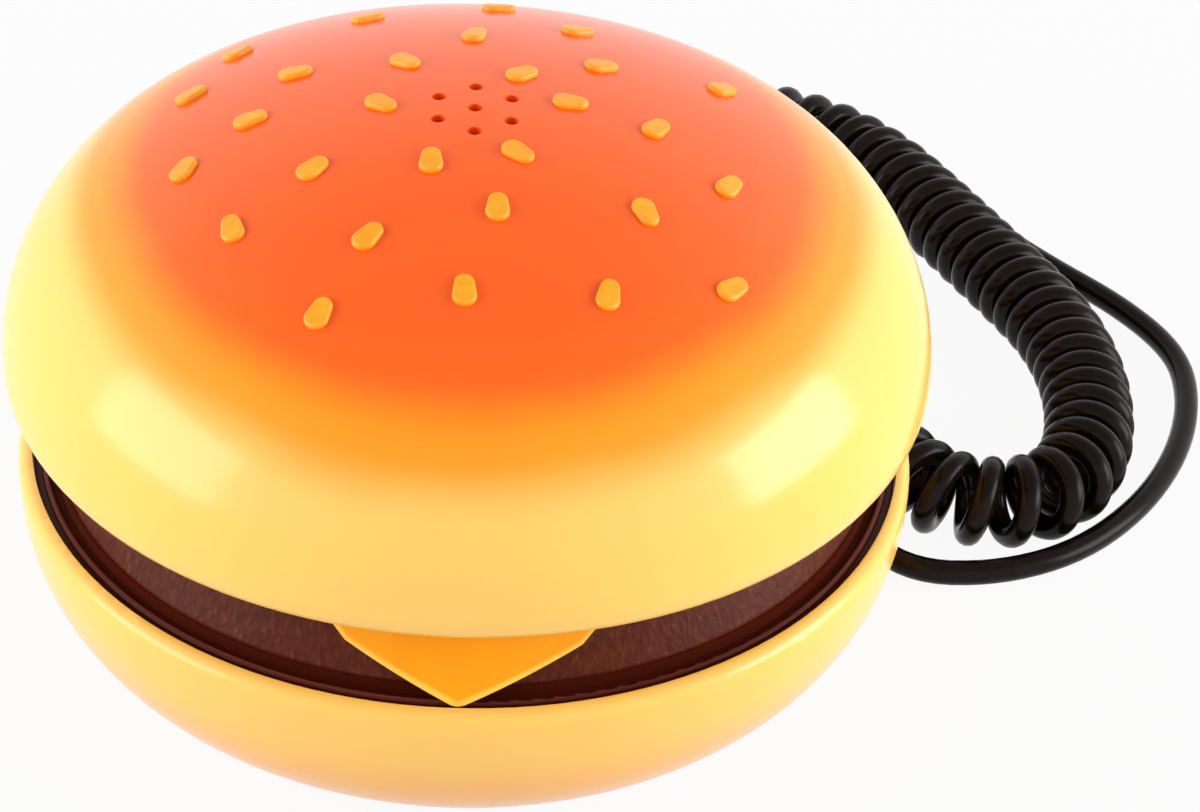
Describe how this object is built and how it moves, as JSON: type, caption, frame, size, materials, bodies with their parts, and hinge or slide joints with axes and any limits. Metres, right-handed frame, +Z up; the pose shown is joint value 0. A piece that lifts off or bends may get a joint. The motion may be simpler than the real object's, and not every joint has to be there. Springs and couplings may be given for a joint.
{
  "type": "novelty telephone",
  "caption": "Corded telephone shaped like a hamburger: a hinged top bun with earpiece and ringer opens over a keypad on the patty; curly cord with modular plug.",
  "frame": {"origin": "on the burger's axis at the plane of the feet", "axes": "+Z up, -Y to the front where the cheese corner hangs, hinge at +Y"},
  "size_m": [0.1826, 0.2261, 0.0828],
  "materials": {
    "bun_plastic": "gloss, airbrushed",
    "seed_paint": "painted raised seeds",
    "patty_plastic": "textured, satin",
    "cheese_plastic": "satin",
    "key_plastic": "satin with printed digits",
    "silicone": "moulded",
    "board": "green solder mask",
    "black_plastic": "moulded",
    "steel": "zinc plated",
    "rubber": "matte",
    "cord_jacket": "satin jacket",
    "plug_clear": "clear moulded",
    "contact_metal": "gold plated"
  },
  "bodies": {
    "base": {"lower_bun_shell": "bun_plastic", "patty_housing": "patty_plastic", "cheese_faceplate": "cheese_plastic", "keypad_mat": "silicone", "circuit_board": "board", "microphone_capsule": "black_plastic", "hook_switch_body": "black_plastic", "hinge_pin": "steel", "lid_bumpers": "rubber", "rubber_feet": "rubber", "base_screws": "steel", "board_screws": "steel", "slide_switches": "black_plastic", "strain_relief": "cord_jacket", "cord_lead": "cord_jacket", "cord_curl": "cord_jacket", "cord_tail": "cord_jacket", "modular_plug": "plug_clear", "plug_contacts": "contact_metal"},
    "lid": {"top_bun_shell": "bun_plastic", "sesame_seeds": "seed_paint", "earpiece_plate": "bun_plastic", "earpiece_capsule": "black_plastic", "ringer_sounder": "black_plastic", "lid_screws": "steel"},
    "hook": {"hook_plunger": "bun_plastic"},
    "ringer_switch": {"ringer_slider": "black_plastic"},
    "tone_switch": {"tone_slider": "black_plastic"},
    "key_star_body": {"key_star": "key_plastic"},
    "key_0_body": {"key_0": "key_plastic"},
    "key_hash_body": {"key_hash": "key_plastic"},
    "key_1_body": {"key_1": "key_plastic"},
    "key_2_body": {"key_2": "key_plastic"},
    "key_3_body": {"key_3": "key_plastic"},
    "key_4_body": {"key_4": "key_plastic"},
    "key_5_body": {"key_5": "key_plastic"},
    "key_6_body": {"key_6": "key_plastic"},
    "key_7_body": {"key_7": "key_plastic"},
    "key_8_body": {"key_8": "key_plastic"},
    "key_9_body": {"key_9": "key_plastic"},
    "key_redial_body": {"key_redial": "key_plastic"},
    "key_flash_body": {"key_flash": "key_plastic"},
    "key_mute_body": {"key_mute": "key_plastic"}
  },
  "joints": [
    {"name": "lid_hinge", "type": "hinge", "parent": "base", "child": "lid", "pos_m": [0, 0.0624, 0.0345], "axis": [-1, 0, 0], "range_deg": [0, 140]},
    {"name": "hook_slide", "type": "slide", "parent": "base", "child": "hook", "axis": [0, 0, 1], "range_m": [0, 0.002]},
    {"name": "ringer_switch_slide", "type": "slide", "parent": "base", "child": "ringer_switch", "axis": [1, 0, 0], "range_m": [0, 0.004]},
    {"name": "tone_switch_slide", "type": "slide", "parent": "base", "child": "tone_switch", "axis": [1, 0, 0], "range_m": [0, 0.004]},
    {"name": "key_star_press", "type": "slide", "parent": "base", "child": "key_star_body", "axis": [0, 0, -1], "range_m": [0, 0.0012], "stiffness_N_per_m": 400},
    {"name": "key_0_press", "type": "slide", "parent": "base", "child": "key_0_body", "axis": [0, 0, -1], "range_m": [0, 0.0012], "stiffness_N_per_m": 400},
    {"name": "key_hash_press", "type": "slide", "parent": "base", "child": "key_hash_body", "axis": [0, 0, -1], "range_m": [0, 0.0012], "stiffness_N_per_m": 400},
    {"name": "key_1_press", "type": "slide", "parent": "base", "child": "key_1_body", "axis": [0, 0, -1], "range_m": [0, 0.0012], "stiffness_N_per_m": 400},
    {"name": "key_2_press", "type": "slide", "parent": "base", "child": "key_2_body", "axis": [0, 0, -1], "range_m": [0, 0.0012], "stiffness_N_per_m": 400},
    {"name": "key_3_press", "type": "slide", "parent": "base", "child": "key_3_body", "axis": [0, 0, -1], "range_m": [0, 0.0012], "stiffness_N_per_m": 400},
    {"name": "key_4_press", "type": "slide", "parent": "base", "child": "key_4_body", "axis": [0, 0, -1], "range_m": [0, 0.0012], "stiffness_N_per_m": 400},
    {"name": "key_5_press", "type": "slide", "parent": "base", "child": "key_5_body", "axis": [0, 0, -1], "range_m": [0, 0.0012], "stiffness_N_per_m": 400},
    {"name": "key_6_press", "type": "slide", "parent": "base", "child": "key_6_body", "axis": [0, 0, -1], "range_m": [0, 0.0012], "stiffness_N_per_m": 400},
    {"name": "key_7_press", "type": "slide", "parent": "base", "child": "key_7_body", "axis": [0, 0, -1], "range_m": [0, 0.0012], "stiffness_N_per_m": 400},
    {"name": "key_8_press", "type": "slide", "parent": "base", "child": "key_8_body", "axis": [0, 0, -1], "range_m": [0, 0.0012], "stiffness_N_per_m": 400},
    {"name": "key_9_press", "type": "slide", "parent": "base", "child": "key_9_body", "axis": [0, 0, -1], "range_m": [0, 0.0012], "stiffness_N_per_m": 400},
    {"name": "key_redial_press", "type": "slide", "parent": "base", "child": "key_redial_body", "axis": [0, 0, -1], "range_m": [0, 0.0012], "stiffness_N_per_m": 400},
    {"name": "key_flash_press", "type": "slide", "parent": "base", "child": "key_flash_body", "axis": [0, 0, -1], "range_m": [0, 0.0012], "stiffness_N_per_m": 400},
    {"name": "key_mute_press", "type": "slide", "parent": "base", "child": "key_mute_body", "axis": [0, 0, -1], "range_m": [0, 0.0012], "stiffness_N_per_m": 400}
  ],
  "couplings": [
    {"joint": "hook_slide", "follows": "lid_hinge", "m_per_rad": 0.0008}
  ]
}
